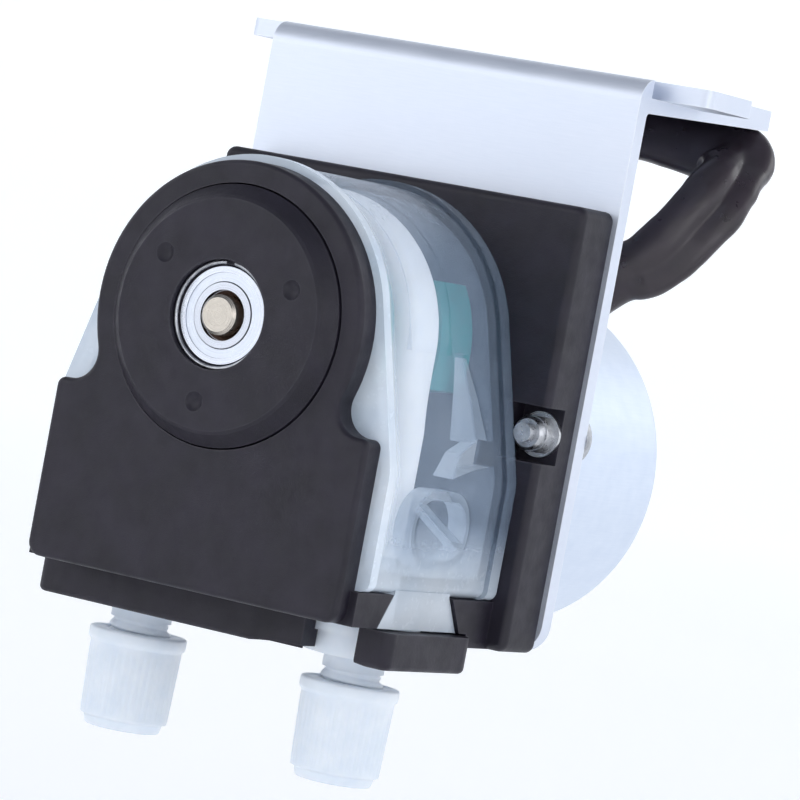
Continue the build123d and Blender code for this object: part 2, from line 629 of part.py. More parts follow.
def gear(teeth, y0, y1, x, z, phase_deg):
    """Spur gear with straight-flanked teeth, one tooth centred on phase_deg."""
    outer = pitch_r(teeth) + 0.8 * GEAR_MODULE
    root = pitch_r(teeth) - 1.25 * GEAR_MODULE
    pitch_half = math.pi / (2 * teeth) * 0.84
    tip_half = pitch_half * 0.52
    root_half = pitch_half * 1.45
    points = []
    for number in range(teeth):
        centre = math.radians(phase_deg) + 2 * math.pi * number / teeth
        for radius, offset in ((root, -root_half), (outer, -tip_half), (outer, tip_half), (root, root_half)):
            points.append((x + radius * math.cos(centre + offset), z + radius * math.sin(centre + offset)))
    face = make_face(Polyline(*points, close=True))
    return slab(face, y0, y1)


def mesh_phase(teeth, towards_deg, gap=True):
    """Phase that puts a tooth, or a gap, on the line towards another gear."""
    return towards_deg + (180.0 / teeth if gap else 0.0)


def motor_front_plate():
    """Steel plate with a locating boss, the shaft's bush seat and two screw ears."""
    y0 = FRAME_BACK_Y + SHEET_T
    disc = Pos(0, MOTOR_Z) * Circle(MOTOR_R)
    ears = Pos(0, NOTCH_Z) * SlotOverall(2 * SCREW_X + 9.0, 9.0)
    plate = slab(disc + ears, y0, CAN_FRONT_Y)
    plate = plate + rod_y(10.0, y0 - 7.0, y0 + 0.5)
    plate = plate - rod_y(BUSH_R, y0 - 8, CAN_FRONT_Y + 1)
    x, z = idler_centre()
    plate = plate - rod_y(SPINDLE_R, y0 + 0.6, CAN_FRONT_Y + 1, x, z)
    for side in (-1, 1):
        plate = plate - rod_y(1.7, y0 - 1, CAN_FRONT_Y + 1, side * SCREW_X, NOTCH_Z)
    return plate


def shaft_bush():
    y0 = FRAME_BACK_Y + SHEET_T - 7.0
    return ring_y(BUSH_R, SHAFT_R + RUNNING, y0, CAN_FRONT_Y)


def output_gear():
    x, z = idler_centre()
    towards = math.degrees(math.atan2(z, x))
    wheel = gear(OUTPUT_TEETH, GEAR_Y, GEAR_Y + STAGE_T, 0, 0, mesh_phase(OUTPUT_TEETH, towards, False))
    return wheel - rod_y(SHAFT_R, GEAR_Y - 1, GEAR_Y + STAGE_T + 1)


def idler_gear():
    """Two gears in one piece that turn on the idler axle."""
    x, z = idler_centre()
    to_shaft = math.degrees(math.atan2(-z, -x))
    to_motor = math.degrees(math.atan2(MOTOR_Z - z, -x))
    small = gear(IDLER_SMALL_TEETH, GEAR_Y - 0.4, IDLER_Y, x, z, mesh_phase(IDLER_SMALL_TEETH, to_shaft))
    phase = mesh_phase(IDLER_LARGE_TEETH, to_motor)
    large = gear(IDLER_LARGE_TEETH, IDLER_Y, IDLER_Y + STAGE_T, x, z, phase)
    return small + large - rod_y(SPINDLE_R + RUNNING, GEAR_Y - 2, IDLER_Y + STAGE_T + 1, x, z)


def idler_axle():
    x, z = idler_centre()
    y0 = FRAME_BACK_Y + SHEET_T + 0.6
    return rod_y(SPINDLE_R, y0, GEAR_PLATE_Y + 1.0, x, z)


def gear_plate():
    """Plate that closes the gear chamber and holds the idler axle."""
    x, z = idler_centre()
    plate = rod_y(MOTOR_R - CAN_T - 0.1, GEAR_PLATE_Y, GEAR_PLATE_Y + 1.2, 0, MOTOR_Z)
    plate = plate - rod_y(SPINDLE_R, GEAR_PLATE_Y - 1, GEAR_PLATE_Y + 1.0, x, z)
    return plate - rod_y(2.2, GEAR_PLATE_Y - 1, GEAR_PLATE_Y + 2, 0, MOTOR_Z)


def motor_spindle():
    return rod_y(SPINDLE_R, IDLER_Y - 0.2, CAN_BACK_Y - 1.4, 0, MOTOR_Z)


def motor_pinion():
    x, z = idler_centre()
    towards = math.degrees(math.atan2(z - MOTOR_Z, x))
    wheel = gear(PINION_TEETH, IDLER_Y - 0.2, IDLER_Y + STAGE_T + 0.4, 0, MOTOR_Z,
                 mesh_phase(PINION_TEETH, towards, False))
    return wheel - rod_y(SPINDLE_R, IDLER_Y - 1, IDLER_Y + STAGE_T + 1, 0, MOTOR_Z)


MAGNET_FRONT_Y = GEAR_PLATE_Y + 3.4
MAGNET_BACK_Y = CAN_BACK_Y - 4.4


def motor_magnet():
    return ring_y(11.0, SPINDLE_R, MAGNET_FRONT_Y, MAGNET_BACK_Y, 0, MOTOR_Z)


def stator_coil():
    """Wound bobbin round the magnet, with a shallow flange at each end."""
    ring = ring_y(23.0, 12.2, MAGNET_FRONT_Y, MAGNET_BACK_Y, 0, MOTOR_Z)
    front = ring_y(24.6, 12.2, MAGNET_FRONT_Y - 1.2, MAGNET_FRONT_Y, 0, MOTOR_Z)
    back = ring_y(24.6, 12.2, MAGNET_BACK_Y, MAGNET_BACK_Y + 1.2, 0, MOTOR_Z)
    return ring + front + back


def spindle_bush():
    return ring_y(3.0, SPINDLE_R + RUNNING, CAN_BACK_Y - 3.4, CAN_BACK_Y - CAN_T, 0, MOTOR_Z)


EXIT_ANGLE = math.radians(35)   # cable exit, from straight up towards +X
EXIT_Y = 73.0


def exit_axis_rod(radius, start, length):
    """Cylinder along the cable exit, starting at a distance from the motor's axis."""
    middle = start + length / 2
    place = Pos(middle * math.sin(EXIT_ANGLE), EXIT_Y, MOTOR_Z + middle * math.cos(EXIT_ANGLE))
    return place * Rot(0, math.degrees(EXIT_ANGLE), 0) * Cylinder(radius, length)


def motor_can():
    """Drawn cup with a rounded rear edge."""
    can = rod_y(MOTOR_R, CAN_FRONT_Y, CAN_BACK_Y, 0, MOTOR_Z)
    rear = can.edges().filter_by_position(Axis.Y, CAN_BACK_Y - 0.01, CAN_BACK_Y + 0.01)
    can = fillet(rear, 3.0)
    core = rod_y(MOTOR_R - CAN_T, CAN_FRONT_Y - 1, CAN_BACK_Y - CAN_T, 0, MOTOR_Z)
    core_rear = core.edges().filter_by_position(Axis.Y, CAN_BACK_Y - CAN_T - 0.01, CAN_BACK_Y - CAN_T + 0.01)
    core = fillet(core_rear, 2.2)
    return can - core - exit_axis_rod(4.6, MOTOR_R - 3, 6)


def cable_grommet():
    """Rubber ring in the can's wall that the sleeve comes out of."""
    flange = exit_axis_rod(6.0, MOTOR_R - 0.1, 1.9)
    neck = exit_axis_rod(4.55, MOTOR_R - 2.2, 3.0)
    collar = exit_axis_rod(5.0, MOTOR_R + 1.0, 3.0)
    trimmed = flange - rod_y(MOTOR_R + 0.02, EXIT_Y - 10, EXIT_Y + 10, 0, MOTOR_Z)
    return trimmed + neck + collar - exit_axis_rod(SLEEVE_R - 0.6, MOTOR_R - 4, 12)


# ---- fasteners ----------------------------------------------------------------------------------
def motor_screws():
    """Pan-head screws through the motor ears, the bracket and the frame."""
    head_y = CAN_FRONT_Y
    screws = []
    for side in (-1, 1):
        x = side * SCREW_X
        body = rod_y(1.5, FRAME_FRONT_Y - 0.6, head_y, x, NOTCH_Z)
        head = rod_y(2.8, head_y, head_y + 2.1, x, NOTCH_Z)
        head = fillet(head.edges().filter_by_position(Axis.Y, head_y + 2.0, head_y + 2.2), 0.7)
        cross = Box(0.8, 1.4, 3.6) + Box(3.6, 1.4, 0.8)
        screws.append(body + head - Pos(x, head_y + 2.0, NOTCH_Z) * cross)
    return screws


WASHER_T = 0.6


def washers():
    y1 = FRAME_FRONT_Y + NOTCH_DEPTH
    return [ring_y(3.5, 1.6, y1 - WASHER_T, y1, side * SCREW_X, NOTCH_Z) for side in (-1, 1)]


def lock_nuts():
    """Hexagon nuts with a rounded collar for the locking insert."""
    back = FRAME_FRONT_Y + NOTCH_DEPTH - WASHER_T
    nuts = []
    for side in (-1, 1):
        hexagon = slab(RegularPolygon(3.15, 6), back - 2.4, back)
        body = hexagon & turned_y([
            (0, back), (3.2, back), (3.2, back - 1.9), (2.7, back - 2.4), (0, back - 2.4)])
        collar = turned_y([
            (0, back - 2.0), (2.6, back - 2.0), (2.6, back - 3.3), (2.2, back - 3.8), (0, back - 3.8)])
        nut = body + collar - rod_y(1.5, back - 5, back + 1)
        nuts.append(Pos(side * SCREW_X, 0, NOTCH_Z) * nut)
    return nuts


# ---- cable --------------------------------------------------------------------------------------
def bend_radii(route):
    """Largest arc that each corner's shorter run allows."""
    radii = []
    for before, here, after in zip(route, route[1:], route[2:]):
        run_in = Vector(*here) - Vector(*before)
        run_out = Vector(*after) - Vector(*here)
        half_turn = math.radians(run_in.get_angle(run_out)) / 2
        radii.append(0.45 * min(run_in.length, run_out.length) / math.tan(half_turn))
    return radii


def cable_sleeve():
    """Soft sleeve round the motor's leads, on runs joined by tangent arcs."""
    radii = bend_radii(SLEEVE_ROUTE)
    path = FilletPolyline(*SLEEVE_ROUTE, radius=radii)
    section = Plane(origin=path @ 0, z_dir=path % 0) * Circle(SLEEVE_R)
    tube = sweep(section, path=path)
    print("sleeve bend radii", [round(r, 1) for r in radii])
    print("sleeve length", round(path.length, 1))
    expected = math.pi * SLEEVE_R ** 2 * path.length
    print("sleeve volume over section times length", round(tube.volume / expected, 4))
    return tube


def cable_connector():
    """Small moulded plug housing on the far end of the sleeve."""
    x, y, z = SLEEVE_ROUTE[-1]
    run = Vector(*SLEEVE_ROUTE[-1]) - Vector(*SLEEVE_ROUTE[-2])
    down = Plane(origin=(x, y, z), z_dir=run)
    neck = down * Pos(0, 0, 1.5) * Cylinder(4.1, 3.0)
    body = down * Pos(0, 0, 7.5) * Box(7.4, 9.4, 9.0)
    body = fillet(body.edges(), 0.6)
    socket = down * Pos(0, 0, 12.0) * Box(5.0, 7.0, 4.0)
    return neck + body - socket


# ---- write every node ---------------------------------------------------------------------------
def main():
    os.makedirs("parts", exist_ok=True)
    export("front_cover", front_cover())
    export("bearing_cap", bearing_cap())
    export("bearing_outer_ring", bearing_outer_ring())
    export("bearing_inner_ring", bearing_inner_ring())
    export("bearing_shields", Compound(children=bearing_shields()))
    export("bearing_balls", Compound(children=bearing_balls()))
    export("bearing_cage", bearing_cage())
    export("bearing_snap_ring", bearing_snap_ring())
    export("pump_housing", pump_housing())
    export("pump_tube", pump_tube())
    export("shaft", shaft())
    export("rotor_front_plate", rotor_front_plate())
    export("rotor_rear_carrier", rotor_rear_carrier())
    export("roller_pins", Compound(children=roller_pins()))
    for number in range(ROLLER_COUNT):
        export("roller_" + str(number + 1), roller(number))
    for name, side in (("inlet", -1), ("outlet", 1)):
        export(name + "_fitting", fitting(side))
        export(name + "_ferrule", ferrule(side))
        export(name + "_nut", compression_nut(side))
    export("fitting_retainer", fitting_retainer())
    export("base_frame", base_frame())
    export("bracket", bracket())
    export("motor_front_plate", motor_front_plate())
    export("shaft_bush", shaft_bush())
    export("output_gear", output_gear())
    export("idler_gear", idler_gear())
    export("idler_axle", idler_axle())
    export("gear_plate", gear_plate())
    export("motor_spindle", motor_spindle())
    export("motor_pinion", motor_pinion())
    export("motor_magnet", motor_magnet())
    export("stator_coil", stator_coil())
    export("spindle_bush", spindle_bush())
    export("motor_can", motor_can())
    export("cable_grommet", cable_grommet())
    export("motor_screws", Compound(children=motor_screws()))
    export("washers", Compound(children=washers()))
    export("lock_nuts", Compound(children=lock_nuts()))
    export("cable_sleeve", cable_sleeve())
    export("cable_connector", cable_connector())


main()
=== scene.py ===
import bmesh
import bpy
import math
from mathutils import Matrix, Vector, noise


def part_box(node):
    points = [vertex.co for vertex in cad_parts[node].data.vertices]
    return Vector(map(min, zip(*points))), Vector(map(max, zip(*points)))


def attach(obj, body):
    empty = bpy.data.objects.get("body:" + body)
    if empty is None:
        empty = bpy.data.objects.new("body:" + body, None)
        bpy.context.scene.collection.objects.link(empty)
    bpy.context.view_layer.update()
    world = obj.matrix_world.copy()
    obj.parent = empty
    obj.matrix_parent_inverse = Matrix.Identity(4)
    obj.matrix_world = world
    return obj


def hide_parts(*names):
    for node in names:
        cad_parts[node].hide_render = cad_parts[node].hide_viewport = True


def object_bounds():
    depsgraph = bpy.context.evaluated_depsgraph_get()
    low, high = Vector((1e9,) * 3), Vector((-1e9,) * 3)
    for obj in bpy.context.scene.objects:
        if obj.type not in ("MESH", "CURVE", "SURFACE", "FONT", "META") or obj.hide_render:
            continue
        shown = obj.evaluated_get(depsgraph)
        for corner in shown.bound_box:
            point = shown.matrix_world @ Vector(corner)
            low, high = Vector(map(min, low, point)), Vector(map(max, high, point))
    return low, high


# Peristaltic pump on a bent bracket. Everything is in metres in the row's frame. Lengths written in
# millimetres are multiplied by MM, and places are given from the point where the shaft's axis meets
# the front cover's face: +X to the right, +Y back to the motor, +Z up.

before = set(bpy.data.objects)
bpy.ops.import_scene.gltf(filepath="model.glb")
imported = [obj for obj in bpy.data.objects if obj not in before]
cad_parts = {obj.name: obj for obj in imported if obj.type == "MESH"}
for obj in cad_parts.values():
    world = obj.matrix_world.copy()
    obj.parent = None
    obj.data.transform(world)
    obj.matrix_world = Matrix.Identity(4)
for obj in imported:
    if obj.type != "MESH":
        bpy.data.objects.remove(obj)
cad_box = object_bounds()

MM = 0.001
COVER_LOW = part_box("front_cover")[0]
SHAFT_LOW, SHAFT_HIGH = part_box("shaft")
DATUM = Vector((
    (SHAFT_LOW.x + SHAFT_HIGH.x) / 2,
    COVER_LOW.y,
    (SHAFT_LOW.z + SHAFT_HIGH.z) / 2,
))


def at(x, y, z):
    """Place in the row's frame of a point given in millimetres from the datum."""
    return DATUM + Vector((x, y, z)) * MM


# ---- camera -------------------------------------------------------------------------------------
CAMERA_AZIMUTH = math.radians(30.48)
CAMERA_ELEVATION = math.radians(1.70)
CAMERA_ROLL = math.radians(10.54)
CAMERA_DISTANCE = 735.42 * MM
AIM_RIGHT = 25.51 * MM      # the picture's centre, right of the datum and below it
AIM_BELOW = 12.36 * MM
LENS = 225.0
SENSOR = 36.0


def camera_axes():
    """Right, up and forward of the camera, rolled about its line of sight."""
    towards = Vector((
        math.sin(CAMERA_AZIMUTH) * math.cos(CAMERA_ELEVATION),
        -math.cos(CAMERA_AZIMUTH) * math.cos(CAMERA_ELEVATION),
        math.sin(CAMERA_ELEVATION),
    ))
    forward = -towards
    level_right = forward.cross(Vector((0, 0, 1))).normalized()
    level_up = level_right.cross(forward)
    right = math.cos(CAMERA_ROLL) * level_right + math.sin(CAMERA_ROLL) * level_up
    up = -math.sin(CAMERA_ROLL) * level_right + math.cos(CAMERA_ROLL) * level_up
    return right, up, forward


def make_camera():
    """Long-lens camera at the object's front right."""
    right, up, forward = camera_axes()
    data = bpy.data.cameras.new("camera")
    data.lens = LENS
    data.sensor_width = SENSOR
    data.clip_start = 0.05
    data.clip_end = 30.0
    camera = bpy.data.objects.new("camera", data)
    bpy.context.scene.collection.objects.link(camera)
    turn = Matrix((right, up, -forward)).transposed()
    aim = DATUM + right * AIM_RIGHT - up * AIM_BELOW
    camera.matrix_world = Matrix.Translation(aim - forward * CAMERA_DISTANCE) @ turn.to_4x4()
    bpy.context.scene.camera = camera


# ---- node helpers -------------------------------------------------------------------------------
def principled(name, colour, roughness, metallic=0.0, specular=0.5):
    """New material, with its node tree and its Principled shader."""
    mat = bpy.data.materials.new(name)
    mat.use_nodes = True
    tree = mat.node_tree
    shader = tree.nodes["Principled BSDF"]
    shader.inputs["Base Color"].default_value = (*colour, 1)
    shader.inputs["Roughness"].default_value = roughness
    shader.inputs["Metallic"].default_value = metallic
    shader.inputs["Specular IOR Level"].default_value = specular
    return mat, tree, shader


def coordinates(tree, stretch=(1, 1, 1), centre=(0, 0, 0)):
    """Object coordinates about a centre, stretched along each axis."""
    source = tree.nodes.new("ShaderNodeTexCoord")
    move = tree.nodes.new("ShaderNodeVectorMath")
    move.operation = "SUBTRACT"
    move.inputs[1].default_value = tuple(centre)
    scale = tree.nodes.new("ShaderNodeVectorMath")
    scale.operation = "MULTIPLY"
    scale.inputs[1].default_value = stretch
    tree.links.new(source.outputs["Object"], move.inputs[0])
    tree.links.new(move.outputs[0], scale.inputs[0])
    return scale.outputs[0]


def math_node(tree, operation, first, second=None):
    """Output of a math node fed with numbers or sockets."""
    node = tree.nodes.new("ShaderNodeMath")
    node.operation = operation
    for socket, value in zip(node.inputs, (first, second)):
        if value is None:
            continue
        if isinstance(value, (int, float)):
            socket.default_value = value
        else:
            tree.links.new(value, socket)
    return node.outputs[0]


def grain(tree, size, detail=2.0, stretch=(1, 1, 1)):
    """Noise from 0 to 1 whose marks are about size metres across."""
    node = tree.nodes.new("ShaderNodeTexNoise")
    node.inputs["Scale"].default_value = 1.0 / size
    node.inputs["Detail"].default_value = detail
    tree.links.new(coordinates(tree, stretch), node.inputs["Vector"])
    return node.outputs[0]


def distance_from_axis(tree, centre):
    """Distance from the line along Y through centre."""
    parts = tree.nodes.new("ShaderNodeSeparateXYZ")
    tree.links.new(coordinates(tree, centre=centre), parts.inputs[0])
    x_squared = math_node(tree, "MULTIPLY", parts.outputs["X"], parts.outputs["X"])
    z_squared = math_node(tree, "MULTIPLY", parts.outputs["Z"], parts.outputs["Z"])
    return math_node(tree, "SQRT", math_node(tree, "ADD", x_squared, z_squared))


def lathe_marks(tree, centre, size):
    """Rings about a line along Y through centre, like those a lathe tool leaves."""
    radius = distance_from_axis(tree, centre)
    node = tree.nodes.new("ShaderNodeTexNoise")
    node.noise_dimensions = "1D"
    node.inputs["Scale"].default_value = 1.0 / size
    node.inputs["Detail"].default_value = 3.0
    tree.links.new(radius, node.inputs["W"])
    return node.outputs[0]


def spread(tree, value, low, high, start=0.3, end=0.7):
    """Stretches a noise value over the range from low to high."""
    node = tree.nodes.new("ShaderNodeMapRange")
    node.inputs["From Min"].default_value = start
    node.inputs["From Max"].default_value = end
    node.inputs["To Min"].default_value = low
    node.inputs["To Max"].default_value = high
    tree.links.new(value, node.inputs["Value"])
    return node.outputs[0]


def between(tree, factor, first, second):
    """Colour mixed from first to second, which are colours or sockets."""
    node = tree.nodes.new("ShaderNodeMix")
    node.data_type = "RGBA"
    tree.links.new(factor, node.inputs[0])
    for socket, value in ((node.inputs[6], first), (node.inputs[7], second)):
        if isinstance(value, tuple):
            socket.default_value = (*value, 1)
        else:
            tree.links.new(value, socket)
    return node.outputs[2]


def bump(tree, height, depth, below=None):
    """Normal socket for a height from 0 to 1 that stands depth metres proud."""
    node = tree.nodes.new("ShaderNodeBump")
    node.inputs["Distance"].default_value = depth
    tree.links.new(height, node.inputs["Height"])
    if below is not None:
        tree.links.new(below, node.inputs["Normal"])
    return node.outputs[0]


def edge_highlight_mask(tree, radius):
    """Mask for painted edge highlights: nearly 1 on sharp outer and inner edges, and 0 on open faces."""
    bevel = tree.nodes.new("ShaderNodeBevel")
    bevel.samples = 4
    bevel.inputs["Radius"].default_value = radius
    plain = tree.nodes.new("ShaderNodeNewGeometry")
    dot = tree.nodes.new("ShaderNodeVectorMath")
    dot.operation = "DOT_PRODUCT"
    tree.links.new(bevel.outputs[0], dot.inputs[0])
    tree.links.new(plain.outputs["Normal"], dot.inputs[1])
    node = tree.nodes.new("ShaderNodeMapRange")
    node.inputs["From Min"].default_value = 0.995
    node.inputs["From Max"].default_value = 0.86
    tree.links.new(dot.outputs["Value"], node.inputs["Value"])
    return node.outputs[0]


# ---- materials ----------------------------------------------------------------------------------
def black_moulded():
    """Glass-filled black plastic: fine spark-eroded texture, with a painted highlight that makes its edges
    paler.
    """
    mat, tree, shader = principled("black_moulded", (0.010, 0.008, 0.013), 0.5, specular=0.42)
    mottle = spread(tree, grain(tree, 6 * MM, 4.0), 0.0, 1.0)
    body = between(tree, mottle, (0.007, 0.0055, 0.012), (0.014, 0.011, 0.022))
    # Painted highlight: the edges are mixed towards a paler grey, as if they caught the light.
    edge_highlight = math_node(tree, "MULTIPLY", edge_highlight_mask(tree, 0.5 * MM), 0.55)
    tree.links.new(between(tree, edge_highlight, body, (0.050, 0.046, 0.060)), shader.inputs["Base Color"])
    tree.links.new(spread(tree, grain(tree, 2.5 * MM, 3.0), 0.42, 0.58), shader.inputs["Roughness"])
    pits = bump(tree, grain(tree, 0.16 * MM, 2.0), 0.03 * MM)
    tree.links.new(bump(tree, grain(tree, 0.7 * MM, 2.0), 0.03 * MM, pits), shader.inputs["Normal"])
    return mat


def ramp_along(tree, axis, start, end, low, high):
    """Value that goes from low to high along one axis of the frame, between two places on it."""
    parts = tree.nodes.new("ShaderNodeSeparateXYZ")
    tree.links.new(coordinates(tree), parts.inputs[0])
    return spread(tree, parts.outputs[axis], low, high, start, end)


KNEE_Z = -18.0 * MM         # the flanks lean in above this height


def moulded_inside(tree):
    """1 on the boss, shelf and blade inside the flanks, and 0 on the walls themselves."""
    parts = tree.nodes.new("ShaderNodeSeparateXYZ")
    tree.links.new(coordinates(tree, centre=DATUM), parts.inputs[0])
    over_knee = math_node(tree, "MAXIMUM", math_node(tree, "SUBTRACT", parts.outputs["Z"], KNEE_Z), 0.0)
    flare = math_node(tree, "MULTIPLY", over_knee, math.tan(math.radians(15)))
    sideways = math_node(tree, "ABSOLUTE", parts.outputs["X"])
    within = math_node(tree, "LESS_THAN", math_node(tree, "ADD", sideways, flare), 27.2 * MM)
    outside = math_node(tree, "GREATER_THAN", sideways, 20.8 * MM)
    behind = math_node(tree, "GREATER_THAN", parts.outputs["Y"], 16.0 * MM)
    in_front = math_node(tree, "LESS_THAN", parts.outputs["Y"], 38.4 * MM)
    below = math_node(tree, "LESS_THAN", parts.outputs["Z"], -0.1 * MM)
    flank = math_node(tree, "MULTIPLY", math_node(tree, "MULTIPLY", within, outside), below)
    return math_node(tree, "MULTIPLY", flank, math_node(tree, "MULTIPLY", behind, in_front))


def clear_housing():
    """Milky see-through polypropylene, denser edge-on, along its front rim and in its foot."""
    mat, tree, shader = principled("clear_housing", (0.74, 0.84, 0.93), 0.22)
    cloud = spread(tree, grain(tree, 9 * MM, 3.0, (1, 0.6, 1)), 0.0, 1.0)
    milky = between(tree, cloud, (0.70, 0.81, 0.94), (0.84, 0.91, 0.99))
    facing = tree.nodes.new("ShaderNodeLayerWeight")
    facing.inputs["Blend"].default_value = 0.35
    edge_on = spread(tree, facing.outputs["Facing"], 0.07, 0.55, 0.20, 0.97)
    front_rim = ramp_along(tree, "Y", at(0, 5.6, 0).y, at(0, 9, 0).y, 0.62, 0.0)
    lower = ramp_along(tree, "Z", at(0, 0, -24).z, at(0, 0, -37).z, 0.0, 0.46)
    inner = math_node(tree, "MULTIPLY", moulded_inside(tree), 0.40)
    haze = spread(tree, grain(tree, 5 * MM, 3.0), -0.02, 0.03)
    extra = math_node(tree, "MAXIMUM", front_rim, math_node(tree, "MAXIMUM", lower, inner))
    density = math_node(tree, "ADD", math_node(tree, "ADD", edge_on, haze), extra)
    tree.links.new(between(tree, spread(tree, density, 0.0, 1.0, 0.1, 0.5), (0.42, 0.58, 0.82), milky),
                   shader.inputs["Base Color"])
    tree.links.new(math_node(tree, "MINIMUM", density, 0.93), shader.inputs["Alpha"])
    tree.links.new(spread(tree, grain(tree, 1.5 * MM, 3.0), 0.16, 0.30), shader.inputs["Roughness"])
    ripples = bump(tree, grain(tree, 3.2 * MM, 2.0), 0.10 * MM)
    tree.links.new(bump(tree, grain(tree, 0.3 * MM, 2.0), 0.01 * MM, ripples), shader.inputs["Normal"])
    shader.inputs["Coat Weight"].default_value = 0.35
    shader.inputs["Coat Roughness"].default_value = 0.12
    return mat


def natural_plastic():
    """Milky natural polypropylene of the fittings and their nuts."""
    mat, tree, shader = principled("natural_plastic", (0.74, 0.80, 0.88), 0.36)
    cloud = spread(tree, grain(tree, 4 * MM, 3.0), 0.0, 1.0)
    milk = between(tree, cloud, (0.74, 0.81, 0.90), (0.82, 0.87, 0.94))
    tree.links.new(milk, shader.inputs["Base Color"])
    shader.inputs["Subsurface Weight"].default_value = 0.25
    shader.inputs["Subsurface Radius"].default_value = (1.0, 1.1, 1.3)
    shader.inputs["Subsurface Scale"].default_value = 1.6 * MM
    tree.links.new(spread(tree, grain(tree, 1.2 * MM, 3.0), 0.28, 0.42), shader.inputs["Roughness"])
    tree.links.new(bump(tree, grain(tree, 0.35 * MM, 3.0), 0.012 * MM), shader.inputs["Normal"])
    return mat


def coloured_plastic(name, dark, light, rough_low, rough_high):
    """Moulded engineering plastic with faint flow marks."""
    mat, tree, shader = principled(name, light, rough_low)
    flow = spread(tree, grain(tree, 5 * MM, 4.0, (1, 3, 1)), 0.0, 1.0)
    tree.links.new(between(tree, flow, dark, light), shader.inputs["Base Color"])
    tree.links.new(spread(tree, grain(tree, 1.5 * MM), rough_low, rough_high), shader.inputs["Roughness"])
    tree.links.new(bump(tree, grain(tree, 0.25 * MM), 0.015 * MM), shader.inputs["Normal"])
    return mat


def soft_tube():
    """Off-white thermoplastic rubber with a dusty skin and a faint painted glow."""
    mat, tree, shader = principled("soft_tube", (0.93, 0.94, 0.95), 0.5)
    cloud = spread(tree, grain(tree, 6 * MM, 4.0), 0.0, 1.0)
    skin = between(tree, cloud, (0.88, 0.90, 0.92), (0.97, 0.98, 0.98))
    tree.links.new(skin, shader.inputs["Base Color"])
    shader.inputs["Subsurface Weight"].default_value = 0.3
    # Painted light: a faint emission makes the tube glow, standing in for light that the housing's shade
    # takes from it.
    shader.inputs["Emission Color"].default_value = (0.88, 0.94, 1.0, 1)
    shader.inputs["Emission Strength"].default_value = 0.16
    shader.inputs["Subsurface Radius"].default_value = (1.3, 1.2, 1.0)
    shader.inputs["Subsurface Scale"].default_value = 1.2 * MM
    tree.links.new(spread(tree, grain(tree, 1.0 * MM), 0.42, 0.60), shader.inputs["Roughness"])
    tree.links.new(bump(tree, grain(tree, 0.4 * MM), 0.02 * MM), shader.inputs["Normal"])
    return mat


RELIEF_R = 3.85 * MM        # edge of the groove between the shaft and the inner ring


def turned_steel(name, dark, light, centre, rough_low, rough_high, mark=0.10 * MM):
    """Ground or turned steel with rings about its axis."""
    mat, tree, shader = principled(name, light, rough_low, metallic=1.0)
    rings = lathe_marks(tree, centre, mark)
    tree.links.new(between(tree, spread(tree, rings, 0.0, 1.0), dark, light), shader.inputs["Base Color"])
    smear = math_node(tree, "ADD", math_node(tree, "MULTIPLY", rings, 0.5),
                      math_node(tree, "MULTIPLY", grain(tree, 1.2 * MM, 3.0), 0.5))
    tree.links.new(spread(tree, smear, rough_low, rough_high), shader.inputs["Roughness"])
    tree.links.new(bump(tree, rings, 0.012 * MM), shader.inputs["Normal"])
    return mat


def inner_ring_steel():
    """Ground ring with painted shade: its relief round the shaft is coloured dark brown where the groove
    lies in shadow.
    """
    mat = turned_steel("inner_ring_steel", (0.50, 0.52, 0.58), (0.66, 0.69, 0.76), DATUM, 0.14, 0.26)
    tree = mat.node_tree
    shader = tree.nodes["Principled BSDF"]
    steel_colour = shader.inputs["Base Color"].links[0].from_socket
    # Painted shade: near the shaft the ring turns dark brown, standing in for the shadow in the groove.
    radius = distance_from_axis(tree, DATUM)
    groove_shade = spread(tree, radius, 1.0, 0.0, RELIEF_R - 0.15 * MM, RELIEF_R)
    tree.links.new(between(tree, groove_shade, steel_colour, (0.035, 0.022, 0.018)), shader.inputs["Base Color"])
    return mat


def plain_steel(name="plain_steel", dark=(0.32, 0.33, 0.35), light=(0.60, 0.61, 0.64)):
    """Zinc-plated steel with small scuffs."""
    mat, tree, shader = principled(name, light, 0.32, metallic=1.0)
    patch = spread(tree, grain(tree, 1.6 * MM, 4.0), 0.0, 1.0)
    tree.links.new(between(tree, patch, dark, light), shader.inputs["Base Color"])
    tree.links.new(spread(tree, grain(tree, 0.6 * MM, 4.0), 0.22, 0.46), shader.inputs["Roughness"])
    tree.links.new(bump(tree, grain(tree, 0.2 * MM, 3.0, (1, 0.3, 1)), 0.01 * MM), shader.inputs["Normal"])
    return mat


def sheet_metal():
    """Satin silver sheet with a fine rolled grain across it, and a painted highlight on its edges."""
    mat, tree, shader = principled("sheet_metal", (0.78, 0.81, 0.87), 0.40, metallic=0.75)
    rolled = grain(tree, 0.22 * MM, 4.0, (0.06, 1, 1))
    patch = grain(tree, 14 * MM, 4.0)
    tone = math_node(tree, "ADD", math_node(tree, "MULTIPLY", rolled, 0.35),
                     math_node(tree, "MULTIPLY", patch, 0.65))
    body = between(tree, spread(tree, tone, 0.0, 1.0), (0.68, 0.73, 0.83), (0.76, 0.80, 0.89))
    # Painted highlight: the edges are mixed towards near-white, as if their rounding caught the light.
    edge_highlight = math_node(tree, "MULTIPLY", edge_highlight_mask(tree, 0.35 * MM), 0.5)
    tree.links.new(between(tree, edge_highlight, body, (0.93, 0.94, 0.96)), shader.inputs["Base Color"])
    tree.links.new(spread(tree, tone, 0.34, 0.48), shader.inputs["Roughness"])
    tree.links.new(bump(tree, rolled, 0.006 * MM), shader.inputs["Normal"])
    return mat


